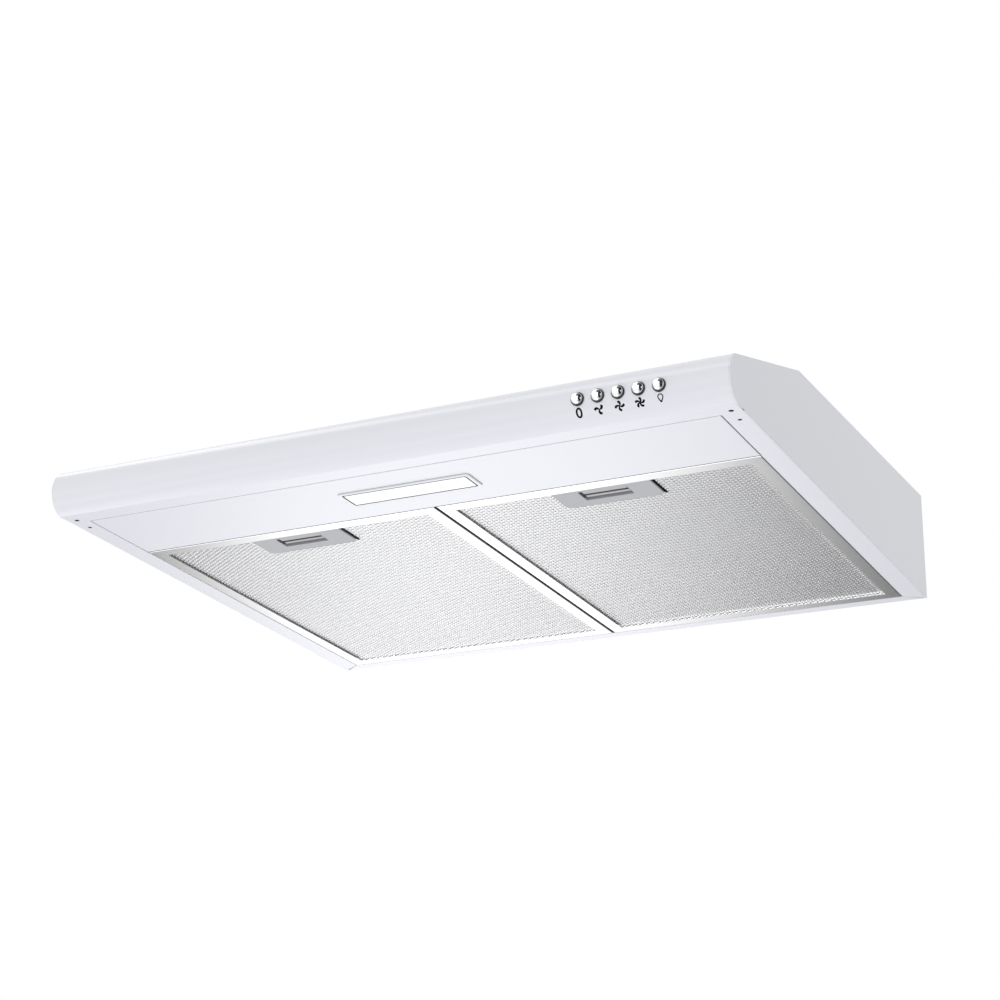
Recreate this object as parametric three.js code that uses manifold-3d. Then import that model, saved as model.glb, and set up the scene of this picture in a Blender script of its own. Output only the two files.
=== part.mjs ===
// Under cabinet range hood, 60 cm wide: a sheet steel canopy with two hinged grease filters, a lamp,
// a blower with a 120 mm outlet, and a row of push buttons in the rounded front edge.
// Millimetres. X runs across the hood, -Y points forward from the wall and +Z points up.
// The origin is on the top face, on the centreline, half way between the wall and the front edge.
import * as THREE from 'three';
import { mergeVertices } from 'three/addons/utils/BufferGeometryUtils.js';
import Module from 'manifold-3d';

const wasm = await Module();
wasm.setup();

// canopy
const halfWidth = 300;
const backHeight = 97.2;
const wallToOrigin = 244;
const topDepth = 332.8;
const sheet = 1;
const gap = 0.3;
const noseRadius = 21;
const noseDepth = 467;
const noseDrop = 57.8;
const apexAngle = 62;
const chinAngle = -69;
const lipDepth = 12.8;
const flangeInnerX = 281.7;
const fasciaFlangeDepth = 458.7;
const shellHalf = halfWidth - sheet - gap;

// the underside lies in one plane that rises towards the front
const degrees = Math.PI / 180;
const nose = (angle, radius = noseRadius) => [
  -noseDepth - radius * Math.cos(angle * degrees),
  -noseDrop + radius * Math.sin(angle * degrees),
];
const apex = nose(apexAngle);
const chin = nose(chinAngle);
const tilt = Math.atan2(backHeight + chin[1], -chin[0]);

// fixings
const cabinetKeyholes = { x: 240, near: 60, far: 300, head: 9, slot: 5, travel: 8 };
const wallKeyholes = { x: 200, drop: 30, head: 9, slot: 5, travel: 8 };
const flangeHoles = { x: 291, screw: 463.5, pilot: 445.5, screwRadius: 2.1, pilotRadius: 1.6 };
const weld = { inner: 287, rear: 20, front: 320 };
const hem = 14;

// lamp panel and lamp
const panel = { front: 458.4, rear: 374.7, halfX: 281.4, frontLip: 6, rearLip: 12, tabReach: 293 };
const lamp = { y: 417, halfX: 59, halfY: 13.5, lip: 1.5, rim: 1.4, height: 15, wall: 1 };

// filters and their latches
const filter = { inner: 0.75, outer: 281.2, rear: 13.1, front: 373.9, border: 12, height: 9, skin: 0.8 };
const mesh = { low: 2.5, high: 5.5, inset: 3, front: 364 };
const rearTabs = { at: [70, 212], half: 16, reach: 4, low: 1.6, high: 2.8 };
const latch = { halfX: 42.5, rear: 328.4, front: 361.9, low: 0.2, high: 7.9, radius: 5 };
const latchWindow = { halfX: 20.8, rear: 340, front: 358.5, pocketRear: 330.5, low: 4, high: 6.2 };
const tongue = { halfX: 10, front: 372.6, low: 4.3, high: 5.9, ribs: [346, 352.4], ribLow: 1.4 };
const clip = { half: 9, sheet: 0.8, low: 3, high: 11.5, hook: 366 };
const filterX = (filter.inner + filter.outer) / 2;

// controls
const button = { first: 180, pitch: 16.3, drop: 58.5, radius: 4.5, proud: 5.5, stem: 2.5, back: 462 };
const buttonNames = ['off', 'speed_low', 'speed_mid', 'speed_high', 'lamp'];
const switchBlock = { left: 170, right: 256, rear: 444, front: 475, low: -68.5, high: -48.5 };
const boreSides = 10;

// blower
const fan = { x: -70, y: -215, wheel: 85, top: -10.5, bottom: -62, cup: 51.5, blades: 20, pitch: 35 };
const scroll = { start: 95, end: 130, tongueAngle: 60, wall: 2, low: -70, high: -5.3, inlet: 68 };
const outlet = { y: -96, radius: 59.6, wall: 1.6, rim: 25, flange: 66, side: 62, rear: -32, shoulder: -88 };
const flap = { radius: 57.5, low: 7.7, high: 8.9, pin: 1.5, knuckle: 3.2, start: 3.9 };
const shaft = { radius: 4, low: -58, high: -24 };
const motorSheet = 1.5;
const coverSheet = 1.7;
const screwHole = 2.3;
const housingScrews = [[-69.5, -48], [69.5, -60], [69.5, -190], [-176.5, -266]];
const post = { radius: 6, low: -20, arm: 10.5 };

// electrics
const box = { left: 195, right: 275, rear: 15, front: 75, low: -38, wall: 2 };
const gland = { x: 235, y: -45, radius: 8, bore: 4.5, top: 8 };
const capacitor = { left: 120, right: 182, y: -45, z: -22, radius: 15 };

const finishes = {
  steel: [0xdcdee3, 0.35, 0.6],
  galvanised: [0xb4b8bc, 0.45, 0.8],
  chrome: [0xe6e8ea, 0.08, 1],
  aluminium: [0xc4c6ca, 0.35, 0.9],
  greyPlastic: [0xb9babf, 0.5, 0],
  blackPlastic: [0x1c1c1e, 0.5, 0],
  whitePlastic: [0xf2f2f0, 0.4, 0],
  board: [0xeceee8, 0.5, 0],
};

// solids

function solidOf(geometry) {
  const plain = geometry.clone();
  plain.deleteAttribute('normal');
  plain.deleteAttribute('uv');
  const merged = mergeVertices(plain, 1e-4);
  return new wasm.Manifold(new wasm.Mesh({
    numProp: 3,
    vertProperties: merged.attributes.position.array,
    triVerts: Uint32Array.from(merged.index.array),
  }));
}

function geometryOf(solid) {
  const { vertProperties, triVerts } = solid.getMesh();
  const geometry = new THREE.BufferGeometry();
  geometry.setAttribute('position', new THREE.BufferAttribute(vertProperties, 3));
  geometry.setIndex(new THREE.BufferAttribute(triVerts, 1));
  return geometry;
}

function cut(geometry, ...tools) {
  return geometryOf(tools.reduce((solid, tool) => solid.subtract(solidOf(tool)), solidOf(geometry)));
}

function join(...geometries) {
  return geometryOf(geometries.map(solidOf).reduce((solid, other) => solid.add(other)));
}

function block(x0, x1, y0, y1, z0, z1) {
  const geometry = new THREE.BoxGeometry(x1 - x0, y1 - y0, z1 - z0);
  return geometry.translate((x0 + x1) / 2, (y0 + y1) / 2, (z0 + z1) / 2);
}

function discZ(radius, x, y, z0, z1, sides = 32) {
  const geometry = new THREE.CylinderGeometry(radius, radius, z1 - z0, sides);
  return geometry.rotateX(Math.PI / 2).translate(x, y, (z0 + z1) / 2);
}

function rodY(radius, x, y0, y1, z, sides = 20) {
  return new THREE.CylinderGeometry(radius, radius, y1 - y0, sides).translate(x, (y0 + y1) / 2, z);
}

function rodX(radius, x0, x1, y, z, sides = 24) {
  const geometry = new THREE.CylinderGeometry(radius, radius, x1 - x0, sides);
  return geometry.rotateZ(Math.PI / 2).translate((x0 + x1) / 2, y, z);
}

function shapeOf(outline) {
  return new THREE.Shape(outline.map(([a, b]) => new THREE.Vector2(a, b)));
}

// a prism across the hood, from an outline of [y, z] points
function prismX(outline, x0, x1) {
  const geometry = new THREE.ExtrudeGeometry(shapeOf(outline), { depth: x1 - x0, bevelEnabled: false });
  const turn = new THREE.Matrix4().makeBasis(
    new THREE.Vector3(0, 1, 0), new THREE.Vector3(0, 0, 1), new THREE.Vector3(1, 0, 0));
  return geometry.applyMatrix4(turn).translate(x0, 0, 0);
}

// an upright prism, from an outline of [x, y] points
function prismZ(outline, z0, z1) {
  const geometry = new THREE.ExtrudeGeometry(shapeOf(outline), { depth: z1 - z0, bevelEnabled: false });
  return geometry.translate(0, 0, z0);
}

// the closed outline of a bent sheet: an open line and the same line moved sideways by a thickness
function bent(line, thickness) {
  const inner = line.map((point, i) => {
    const here = new THREE.Vector2(...point);
    const before = i > 0 ? here.clone().sub(new THREE.Vector2(...line[i - 1])).normalize() : null;
    const after = i < line.length - 1 ? new THREE.Vector2(...line[i + 1]).sub(here).normalize() : null;
    const along = (before ?? after).clone().add(after ?? before).normalize();
    const normal = new THREE.Vector2(-along.y, along.x);
    const reach = thickness / Math.abs((before ?? after).dot(along));
    return here.add(normal.multiplyScalar(reach)).toArray();
  });
  return [...line, ...inner.reverse()];
}

// moves a piece drawn on the level underside plane onto the sloping one
function onUnderside(geometry) {
  return geometry.rotateX(-tilt).translate(0, 0, -backHeight);
}

function turned(profile, sides) {
  const points = profile.map(([r, z]) => new THREE.Vector2(r, z));
  return new THREE.LatheGeometry([...points, points[0].clone()], sides).rotateX(Math.PI / 2);
}

function cable(route, radius, steps) {
  const curve = new THREE.CatmullRomCurve3(route.map(point => new THREE.Vector3(...point)));
  const section = new THREE.Shape().absarc(0, 0, radius, 0, 2 * Math.PI);
  return new THREE.ExtrudeGeometry(section, { steps, extrudePath: curve, curveSegments: 4 });
}

function roundedOutline(halfX, halfY, radius, steps = 3) {
  const corners = [[1, 1, 0], [-1, 1, 90], [-1, -1, 180], [1, -1, 270]];
  return corners.flatMap(([sx, sy, start]) => Array.from({ length: steps + 1 }, (_, i) => {
    const angle = (start + (90 * i) / steps) * degrees;
    return [sx * (halfX - radius) + radius * Math.cos(angle), sy * (halfY - radius) + radius * Math.sin(angle)];
  }));
}

const hood = new THREE.Group();
hood.position.y = wallToOrigin;
const underside = new THREE.Group();
underside.position.z = -backHeight;
underside.rotation.x = -tilt;
hood.add(underside);

function add(name, geometry, finish, parent = hood) {
  const [color, roughness, metalness] = finishes[finish];
  const piece = new THREE.Mesh(geometry, new THREE.MeshStandardMaterial({ color, roughness, metalness }));
  piece.name = name;
  parent.add(piece);
}

// canopy

function noseLine(from, to, steps, radius = noseRadius) {
  return Array.from({ length: steps + 1 }, (_, i) => nose(from + ((to - from) * i) / steps, radius));
}

function topKeyhole(x, y) {
  const { head, slot, travel } = cabinetKeyholes;
  const way = block(x - slot / 2, x + slot / 2, y, y + travel, -5, 5);
  return join(discZ(head / 2, x, y, -5, 5, 12), way);
}

function wallKeyhole(x) {
  const { drop, head, slot, travel } = wallKeyholes;
  const way = block(x - slot / 2, x + slot / 2, -5, 5, -drop, travel - drop);
  return join(rodY(head / 2, x, -5, 5, -drop, 12), way);
}

function canopyShell() {
  const lipEnd = [-lipDepth * Math.cos(tilt), -backHeight + lipDepth * Math.sin(tilt)];
  // the slope stops 1 mm short of the nose
  const slopeEnd = [apex[0] + 1, apex[1] + apex[1] / (apex[0] + topDepth)];
  const line = [slopeEnd, [-topDepth, 0], [0, 0], [0, -backHeight], lipEnd];
  const body = prismX(bent(line, -sheet), -shellHalf, shellHalf);
  const { x, near, far } = cabinetKeyholes;
  const keyholes = [-x, x].flatMap(at => [near, far].map(depth => topKeyhole(at, -depth)));
  const hangers = [-1, 1].map(side => wallKeyhole(side * wallKeyholes.x));
  const mitres = [-1, 1].map(side => prismZ([
    [side * shellHalf, 0.01],
    [side * (shellHalf + 5), 0.01],
    [side * (shellHalf + 5), -lipDepth - 5],
    [side * flangeInnerX, -lipDepth - 5],
    [side * flangeInnerX, -lipDepth],
  ], -backHeight - 2, -backHeight + 2.5));
  const screws = housingScrews.map(([sx, sy]) => discZ(screwHole, sx, sy, -5, 5, 10));
  const duct = discZ(outlet.radius + 0.4, 0, outlet.y, -5, 5, 48);
  const lead = discZ(gland.radius + gap, gland.x, gland.y, -5, 5, 16);
  return cut(body, duct, lead, ...keyholes, ...hangers, ...mitres, ...screws);
}

function sidePanel(side) {
  const outline = [[0, -backHeight], [0, 0], [-topDepth, 0], ...noseLine(apexAngle, chinAngle, 14)];
  const [x0, x1] = [halfWidth - sheet, halfWidth].map(edge => side * edge).sort((a, b) => a - b);
  const plate = prismX(outline, x0, x1);
  const outer = side * (halfWidth - sheet / 2);
  const flange = onUnderside(prismZ([
    [outer, -gap - 0.5],
    [side * (flangeInnerX + 0.3), -lipDepth - 0.4],
    [side * flangeInnerX, -lipDepth - 0.4],
    [side * flangeInnerX, -fasciaFlangeDepth + gap],
    [outer, -fasciaFlangeDepth + gap],
  ], 0, sheet));
  const [w0, w1] = [side * weld.inner, outer].sort((a, b) => a - b);
  const ledge = block(w0, w1, -weld.front, -weld.rear, -2 * sheet - gap, -sheet - gap);
  const { x, pilot: depth, pilotRadius } = flangeHoles;
  const pilot = onUnderside(discZ(pilotRadius, side * x, -depth, -3, 4, 16));
  return cut(join(plate, flange, ledge), pilot);
}

function frontFascia() {
  const slope = Math.atan2(-apex[1], -apex[0] - topDepth);
  const under = sheet + gap;
  const hemStart = [apex[0] + hem * Math.cos(slope) - under * Math.sin(slope),
    apex[1] + hem * Math.sin(slope) - under * Math.cos(slope)];
  const hemEnd = [apex[0] + 0.6 - under * Math.sin(slope), apex[1] - under * Math.cos(slope) + 0.15];
  const flangeEnd = [-fasciaFlangeDepth * Math.cos(tilt), -backHeight + fasciaFlangeDepth * Math.sin(tilt)];
  const line = [hemStart, hemEnd, ...noseLine(apexAngle - 4, chinAngle, 14), flangeEnd];
  const body = prismX(bent(line, sheet), -shellHalf, shellHalf);
  const buttonHoles = buttonNames.map((_, i) =>
    rodY(button.radius + 0.4, button.first + i * button.pitch, -500, -480, -button.drop, 16));
  const screwHoles = [-1, 1].map(side => onUnderside(
    discZ(flangeHoles.screwRadius, side * flangeHoles.x, -flangeHoles.screw, -3, 4, 20)));
  return cut(body, ...buttonHoles, ...screwHoles);
}

function fasciaScrew(side) {
  const { x, screw, screwRadius } = flangeHoles;
  const profile = [[0, 0.2], [screwRadius - gap, 0.2], [screwRadius - gap, 1.4], [1.4, 1.7], [1.4, 8], [0, 9]];
  return turned(profile, 12).translate(side * x, -screw, 0);
}

add('canopy_shell', canopyShell(), 'steel');
add('side_panel_left', sidePanel(-1), 'steel');
add('side_panel_right', sidePanel(1), 'steel');
add('front_fascia', frontFascia(), 'steel');
add('fascia_screw_left', fasciaScrew(-1), 'galvanised', underside);
add('fascia_screw_right', fasciaScrew(1), 'galvanised', underside);

// lamp panel

function lampPanel() {
  const { front, rear, halfX, frontLip, rearLip, tabReach } = panel;
  const face = block(-halfX, halfX, -front, -rear, 0, sheet);
  const lips = [
    block(-halfX, halfX, -front, -front + sheet, 0.5, frontLip),
    block(-halfX, halfX, -rear - sheet, -rear, 0.5, rearLip),
  ];
  const ends = [-1, 1].map(side => prismX([[-front, 0], [-front, frontLip], [-rear, frontLip], [-rear, 0]],
    Math.min(side * halfX, side * (halfX - sheet)), Math.max(side * halfX, side * (halfX - sheet))));
  const tabs = [-1, 1].map(side => block(
    Math.min(side * (halfX - sheet), side * tabReach), Math.max(side * (halfX - sheet), side * tabReach),
    -flangeHoles.pilot - 8, -flangeHoles.pilot + 8, sheet + gap, 2 * sheet + gap));
  const opening = prismZ(roundedOutline(lamp.halfX - lamp.rim, lamp.halfY - lamp.rim, 2), -3, 5)
    .translate(0, -lamp.y, 0);
  const pilots = [-1, 1].map(side =>
    discZ(1.2, side * flangeHoles.x, -flangeHoles.pilot, -3, 5, 12));
  return cut(join(face, ...lips, ...ends, ...tabs), opening, ...pilots);
}

function lampBezel() {
  const { halfX, halfY, lip, rim, height, wall } = lamp;
  const ring = prismZ(roundedOutline(halfX, halfY, 2.5), -lip, -gap);
  const body = prismZ(roundedOutline(halfX - rim - gap, halfY - rim - gap, 1.7), -lip / 2, height);
  const inset = rim + gap + wall;
  const inside = prismZ(roundedOutline(halfX - inset, halfY - inset, 1), -5, height - wall);
  const lead = rodX(2.2, halfX - 10, halfX + 5, 0, 10, 16);
  return cut(join(ring, body), inside, lead).translate(0, -lamp.y, 0);
}

function lampLens() {
  const { halfX, halfY, rim, wall } = lamp;
  const inset = rim + gap + wall + gap;
  const plate = prismZ(roundedOutline(halfX - inset, halfY - inset, 0.8), -lamp.lip, 1.5);
  return plate.translate(0, -lamp.y, 0);
}

function ledBoard() {
  const strip = block(-50, 50, -lamp.y - 6, -lamp.y + 6, 6, 7.5);
  const chips = Array.from({ length: 6 }, (_, i) => {
    const x = -40 + 16 * i;
    return block(x - 2.5, x + 2.5, -lamp.y - 2.5, -lamp.y + 2.5, 5, 6.4);
  });
  return join(strip, ...chips);
}

add('lamp_panel', lampPanel(), 'steel', underside);
add('lamp_bezel', lampBezel(), 'whitePlastic', underside);
add('lamp_lens', lampLens(), 'whitePlastic', underside);
add('led_board', ledBoard(), 'board', underside);
add('led_driver', block(90, 160, -436, -398, sheet + gap, 19), 'whitePlastic', underside);

// controls

function buttonCap(i) {
  const front = -noseDepth - noseRadius;
  const { radius, proud, stem, back } = button;
  const dome = [[0, proud], [1.6, proud - 0.25], [3.1, proud - 1.1], [4.1, proud - 2.4], [radius, proud - 3.6]];
  const profile = [...dome, [radius, -5], [stem, -5], [stem, front + back], [0, front + back]];
  const cap = new THREE.LatheGeometry(profile.map(([r, y]) => new THREE.Vector2(r, y)).reverse(), 16);
  return cap.rotateX(Math.PI).translate(button.first + i * button.pitch, front, -button.drop);
}

function switchBody() {
  const { left, right, rear, front, low, high } = switchBlock;
  const bores = buttonNames.map((_, i) =>
    rodY(button.stem + gap, button.first + i * button.pitch, -front - 1, -455, -button.drop, boreSides));
  return cut(block(left, right, -front, -rear, low, high), ...bores);
}

function switchBracket() {
  const slope = -apex[1] / (-apex[0] - topDepth);
  const under = depth => [-depth, -(depth - topDepth) * slope - 2 * sheet - 2 * gap];
  const seat = switchBlock.high + gap;
  const line = [[-470, seat], [-436, seat], under(405), under(385)];
  return prismX(bent(line, sheet), switchBlock.left + 10, switchBlock.right - 10);
}

buttonNames.forEach((name, i) => add(`button_${name}`, buttonCap(i), 'chrome'));
add('switch_block', switchBody(), 'blackPlastic');
add('switch_bracket', switchBracket(), 'galvanised');

// blower

function scrollOutline(inset) {
  const { start, end, tongueAngle } = scroll;
  const at = (angle, r) => [fan.x + r * Math.cos(angle * degrees), fan.y + r * Math.sin(angle * degrees)];
  const cutoff = at(tongueAngle, start);
  const nib = [cutoff[0] + 2.3 * inset, cutoff[1] - 1.95 * inset];
  const spiral = Array.from({ length: 30 }, (_, i) => {
    const angle = tongueAngle + 10 * (i + 1);
    return at(angle, start + ((end - start) * (angle - tongueAngle)) / (360 - tongueAngle) - inset);
  });
  const right = fan.x + end - inset;
  const left = -outlet.side + inset;
  const rear = outlet.rear - inset;
  return [nib, ...spiral, [right, rear], [left, rear], [left, outlet.shoulder]];
}

function housingLower() {
  const { wall, low, high, inlet } = scroll;
  const tub = prismZ(scrollOutline(0), low, high);
  const posts = housingScrews.map(([x, y]) => {
    const root = x - post.arm * Math.sign(x);
    const arm = block(Math.min(x, root), Math.max(x, root), y - 3, y + 3, post.low, high);
    return join(discZ(post.radius, x, y, post.low, high, 16), arm);
  });
  const holes = housingScrews.map(([x, y]) => discZ(screwHole, x, y, -30, 5, 12));
  const lead = rodX(3, 50, 70, -180, -30, 12);
  return cut(join(tub, ...posts), prismZ(scrollOutline(wall), low + wall, 5),
    discZ(inlet, fan.x, fan.y, low - 5, low + 5, 32), lead, ...holes);
}

function housingUpper() {
  const plate = prismZ(scrollOutline(0), scroll.high + gap, scroll.high + gap + coverSheet);
  return cut(plate, discZ(outlet.radius - outlet.wall, 0, outlet.y, -10, 5, 36));
}

function inletGuard() {
  const ring = (outer, inner) => turned([[inner, 0], [outer, 0], [outer, 2.5], [inner, 2.5]], 24);
  const spokes = [0, 60, 120].map(angle => block(-70, 70, -1.4, 1.4, 0, 2.5).rotateZ(angle * degrees));
  const top = scroll.low - gap;
  return join(ring(72, 66), ring(47, 44.5), ring(25.5, 23), ...spokes).translate(fan.x, fan.y, top - 2.5);
}

function motorBracket() {
  const z1 = scroll.high;
  const arms = Array.from({ length: 3 }, (_, i) =>
    block(0, 78, -9, 9, z1 - motorSheet, z1).rotateZ((i * 120 + 30) * degrees));
  return join(discZ(46, 0, 0, z1 - motorSheet, z1, 32), ...arms).translate(fan.x, fan.y, 0);
}

function motorBody() {
  const top = scroll.high - motorSheet - gap;
  const bore = shaft.radius + gap;
  const profile = [[0, -22], [bore, -22], [bore, -44], [12, -44], [12, -42], [38, -42], [42, -38], [42, -12],
    [38, top], [0, top]];
  return turned(profile, 24).translate(fan.x, fan.y, 0);
}

function wheel() {
  const { wheel: rim, top, bottom, cup, blades, pitch } = fan;
  const floor = -50;
  const hub = turned([[4.3, -56], [9, -56], [9, floor - 1.5], [cup - 2, floor - 1.5], [cup, floor + 0.5],
    [cup, top - 1.5], [rim, top - 1.5], [rim, top], [cup - 2, top], [cup - 2, floor], [9, floor], [9, -46.5],
    [4.3, -46.5]], 36);
  const ring = turned([[74, bottom], [rim, bottom], [rim, bottom + 1.5], [74, bottom + 1.5]], 36);
  const vanes = Array.from({ length: blades }, (_, i) => {
    const vane = block(-9, 9, -0.6, 0.6, bottom + 0.7, top - 0.7).rotateZ(pitch * degrees);
    return vane.translate(75, 0, 0).rotateZ((2 * Math.PI * i) / blades);
  });
  return join(hub, ring, ...vanes).translate(fan.x, fan.y, 0);
}

function housingScrew([x, y]) {
  const profile = [[0, -23.6], [3, -23.3], [4, -22], [4, -20.3], [2, -20.3], [2, -0.2], [0, -0.2]];
  return turned(profile, 12).translate(x, y, 0);
}

add('blower_housing_lower', housingLower(), 'blackPlastic');
add('blower_housing_upper', housingUpper(), 'blackPlastic');
add('inlet_guard', inletGuard(), 'blackPlastic');
add('motor_bracket', motorBracket(), 'galvanised');
add('motor', motorBody(), 'galvanised');
add('motor_shaft', discZ(shaft.radius, fan.x, fan.y, shaft.low, shaft.high, 20), 'chrome');
add('impeller', wheel(), 'blackPlastic');
housingScrews.forEach((place, i) => add(`housing_screw_${i + 1}`, housingScrew(place), 'galvanised'));

// outlet and its two damper flaps

function outletCollar() {
  const { radius, wall, rim, flange } = outlet;
  const low = -sheet - gap - coverSheet;
  const plate = block(-flange, flange, -flange, flange, low, low + coverSheet);
  const tube = discZ(radius, 0, 0, low, rim, 48);
  const ledge = radius - wall - 3;
  const above = discZ(radius - wall, 0, 0, flap.low - gap, rim + 5, 48);
  const between = discZ(ledge, 0, 0, flap.low - 5, flap.low + 5, 48);
  const below = discZ(radius - wall, 0, 0, low - 5, flap.low - gap - 1.2, 48);
  const pinSeat = rodY(flap.pin + gap, 0, -57.9, 57.9, (flap.low + flap.high) / 2, 16);
  return cut(join(plate, tube), above, between, below, pinSeat).translate(0, outlet.y, 0);
}

// each flap has two knuckles on the pin, in turn with the other flap's
function damperFlap(side) {
  const { radius, low, high, pin, knuckle, start } = flap;
  const mid = (low + high) / 2;
  const half = Array.from({ length: 19 }, (_, i) => {
    const angle = (-86 + (172 * i) / 18) * degrees;
    return [side * Math.max(start, radius * Math.cos(angle)), radius * Math.sin(angle)];
  });
  const plate = prismZ(half, low, high);
  const spans = side > 0 ? [[-54, -28], [1, 26]] : [[-26, -1], [28, 54]];
  const knuckles = spans.flatMap(([y0, y1]) => [
    rodY(knuckle, 0, y0, y1, mid, 12),
    block(Math.min(side * 2, side * 8), Math.max(side * 2, side * 8), y0, y1, low, high),
  ]);
  return cut(join(plate, ...knuckles), rodY(pin + gap, 0, -60, 60, mid, 12)).translate(0, outlet.y, 0);
}

add('outlet_collar', outletCollar(), 'blackPlastic');
add('damper_pin', rodY(flap.pin, 0, outlet.y - 57.4, outlet.y + 57.4, (flap.low + flap.high) / 2, 12),
  'galvanised');
add('damper_flap_left', damperFlap(-1), 'greyPlastic');
add('damper_flap_right', damperFlap(1), 'greyPlastic');

// electrics

function terminalBox() {
  const { left, right, rear, front, low, wall } = box;
  const top = -sheet - gap;
  const lead = (x, radius) => rodY(radius, x, -front - 5, -front + 5, -20, 12);
  return cut(block(left, right, -front, -rear, low, top),
    block(left + wall, right - wall, -front + wall, -rear - wall, low - 5, top - wall),
    discZ(gland.radius + gap, gland.x, gland.y, -20, 5, 24), lead(225, 2.8), lead(250, 3.1),
    rodX(2.6, left - 5, left + 5, capacitor.y, capacitor.z, 12));
}

function cableGland() {
  const { x, y, radius, bore, top } = gland;
  const seat = -sheet - gap - box.wall - gap;
  const nut = [[bore, seat - 8], [11, seat - 8], [12, seat - 7], [12, seat]];
  const profile = [...nut, [radius, seat], [radius, top - 1], [radius - 1, top], [bore, top]];
  return turned(profile, 16).translate(x, y, 0);
}

function capacitorCan() {
  const { left, right, y, z, radius } = capacitor;
  return rodX(radius, left, right, y, z, 28);
}

function capacitorClip() {
  const { y, z, radius } = capacitor;
  const strap = join(rodX(radius + 1.4, 145, 157, y, z), block(145, 157, y - 9, y + 9, z, -sheet - gap));
  return cut(strap, rodX(radius + gap, 140, 160, y, z));
}

function terminalBlock() {
  const screws = Array.from({ length: 5 }, (_, i) => discZ(2, 219 + 8 * i, -62.5, -25, -15, 10));
  return cut(block(215, 255, -70, -57, -20, -4), ...screws);
}

add('terminal_box', terminalBox(), 'blackPlastic');
add('terminal_cover', block(box.left, box.right, -box.front, -box.rear, box.low - gap - 2, box.low - gap),
  'blackPlastic');
add('terminal_block', terminalBlock(), 'whitePlastic');
add('cable_gland', cableGland(), 'blackPlastic');
add('capacitor', capacitorCan(), 'whitePlastic');
add('capacitor_clip', capacitorClip(), 'galvanised');
add('switch_loom', cable([[240, -443, -58], [245, -425, -55], [266, -395, -46], [271, -300, -30],
  [271, -150, -24], [258, -95, -20], [250, -77.4, -20]], 2.5, 24), 'blackPlastic');
add('motor_loom', cable([[61.2, -180, -30], [85, -178, -28], [150, -130, -23], [205, -100, -20],
  [225, -77.4, -20]], 2.2, 16), 'blackPlastic');
add('lamp_loom', cable([[161.2, -416.6, -69.8], [176, -418, -68], [190, -430, -61],
  [195, -442.8, -58]], 1.8, 8), 'blackPlastic');
add('driver_lead', cable([[89.2, -416.6, -69.6], [76, -414, -70.5], [57.6, -416.8, -69.8]], 1.5, 4),
  'blackPlastic');

// filters: a folded frame that grips the mesh, with two tabs over the back lip and a latch at the front

function filterFrame() {
  const { inner, outer, rear, front, border, height, skin } = filter;
  const body = block(inner, outer, -front, -rear, 0, height);
  const window = block(inner + border, outer - border, -front + border, -rear - border, -5, 20);
  const channel = block(inner + skin, outer - skin, -front + skin, -rear - skin, skin, height - skin);
  const notch = block(filterX - 13, filterX + 13, -front - 1, -front + 4, 2.4, 20);
  const tabs = rearTabs.at.map(x => block(
    x - rearTabs.half, x + rearTabs.half, -rear - skin / 2, -rearTabs.reach, rearTabs.low, rearTabs.high));
  return join(cut(body, window, channel, notch), ...tabs);
}

function filterMesh() {
  const { inner, outer, rear } = filter;
  const { low, high, inset, front } = mesh;
  const slab = block(inner + inset, outer - inset, -front, -rear - inset, low, high);
  const seat = block(filterX - latch.halfX - 0.5, filterX + latch.halfX + 0.5, -380, -latch.rear + 0.5, -5, 20);
  return cut(slab, seat);
}

function latchBody() {
  const { halfX, rear, front, low, high, radius } = latch;
  const depth = front - rear;
  const rounded = prismZ(roundedOutline(halfX, depth, radius), low, high).translate(filterX, -front, 0);
  const beyond = block(0, 300, -front - depth - 5, -front, -5, 20);
  const { halfX: open, rear: back, front: lip, pocketRear, low: floor, high: roof } = latchWindow;
  const window = block(filterX - open, filterX + open, -lip, -back, -5, roof);
  const pocket = block(filterX - open, filterX + open, -lip, -pocketRear, floor, roof);
  const slot = block(filterX - tongue.halfX - gap, filterX + tongue.halfX + gap, -front - 5, -lip + 1,
    tongue.low - gap, tongue.high + gap);
  return cut(rounded, beyond, window, pocket, slot);
}

function latchSlider() {
  const { halfX: open, front: lip } = latchWindow;
  const { halfX, front, low, high } = tongue;
  const pad = block(filterX - open + 0.4, filterX + open - 0.4, -lip + gap, -339.2, low, high);
  const bolt = block(filterX - halfX, filterX + halfX, -front, -lip + 1, low, high);
  const ribs = tongue.ribs.map(y => block(
    filterX - open + 1.2, filterX + open - 1.2, -y - 0.8, -y + 0.8, tongue.ribLow, low + 0.2));
  return join(pad, bolt, ...ribs);
}

function latchSpring() {
  const bow = Array.from({ length: 13 }, (_, i) => {
    const across = -1 + i / 6;
    return [filterX + 16 * across, -338.3 + 6.6 * across * across];
  });
  return prismZ(bent(bow, 0.5), tongue.low, tongue.high);
}

function catchClip() {
  const rear = panel.rear - gap;
  const { half, sheet: thick, low, high, hook: reach } = clip;
  const leg = block(filterX - half, filterX + half, -rear, -rear + thick, low - 0.2, high);
  const hook = block(filterX - half, filterX + half, -rear, -reach, low, low + thick);
  return join(leg, hook);
}

for (const [name, x] of [['left', -2 * filterX], ['right', 0]]) {
  const side = new THREE.Group();
  side.position.x = x;
  underside.add(side);
  add(`filter_frame_${name}`, filterFrame(), 'aluminium', side);
  add(`filter_mesh_${name}`, filterMesh(), 'aluminium', side);
  add(`latch_body_${name}`, latchBody(), 'greyPlastic', side);
  add(`latch_slider_${name}`, latchSlider(), 'greyPlastic', side);
  add(`latch_spring_${name}`, latchSpring(), 'galvanised', side);
  add(`catch_clip_${name}`, catchClip(), 'galvanised', side);
}

export default hood;
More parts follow.
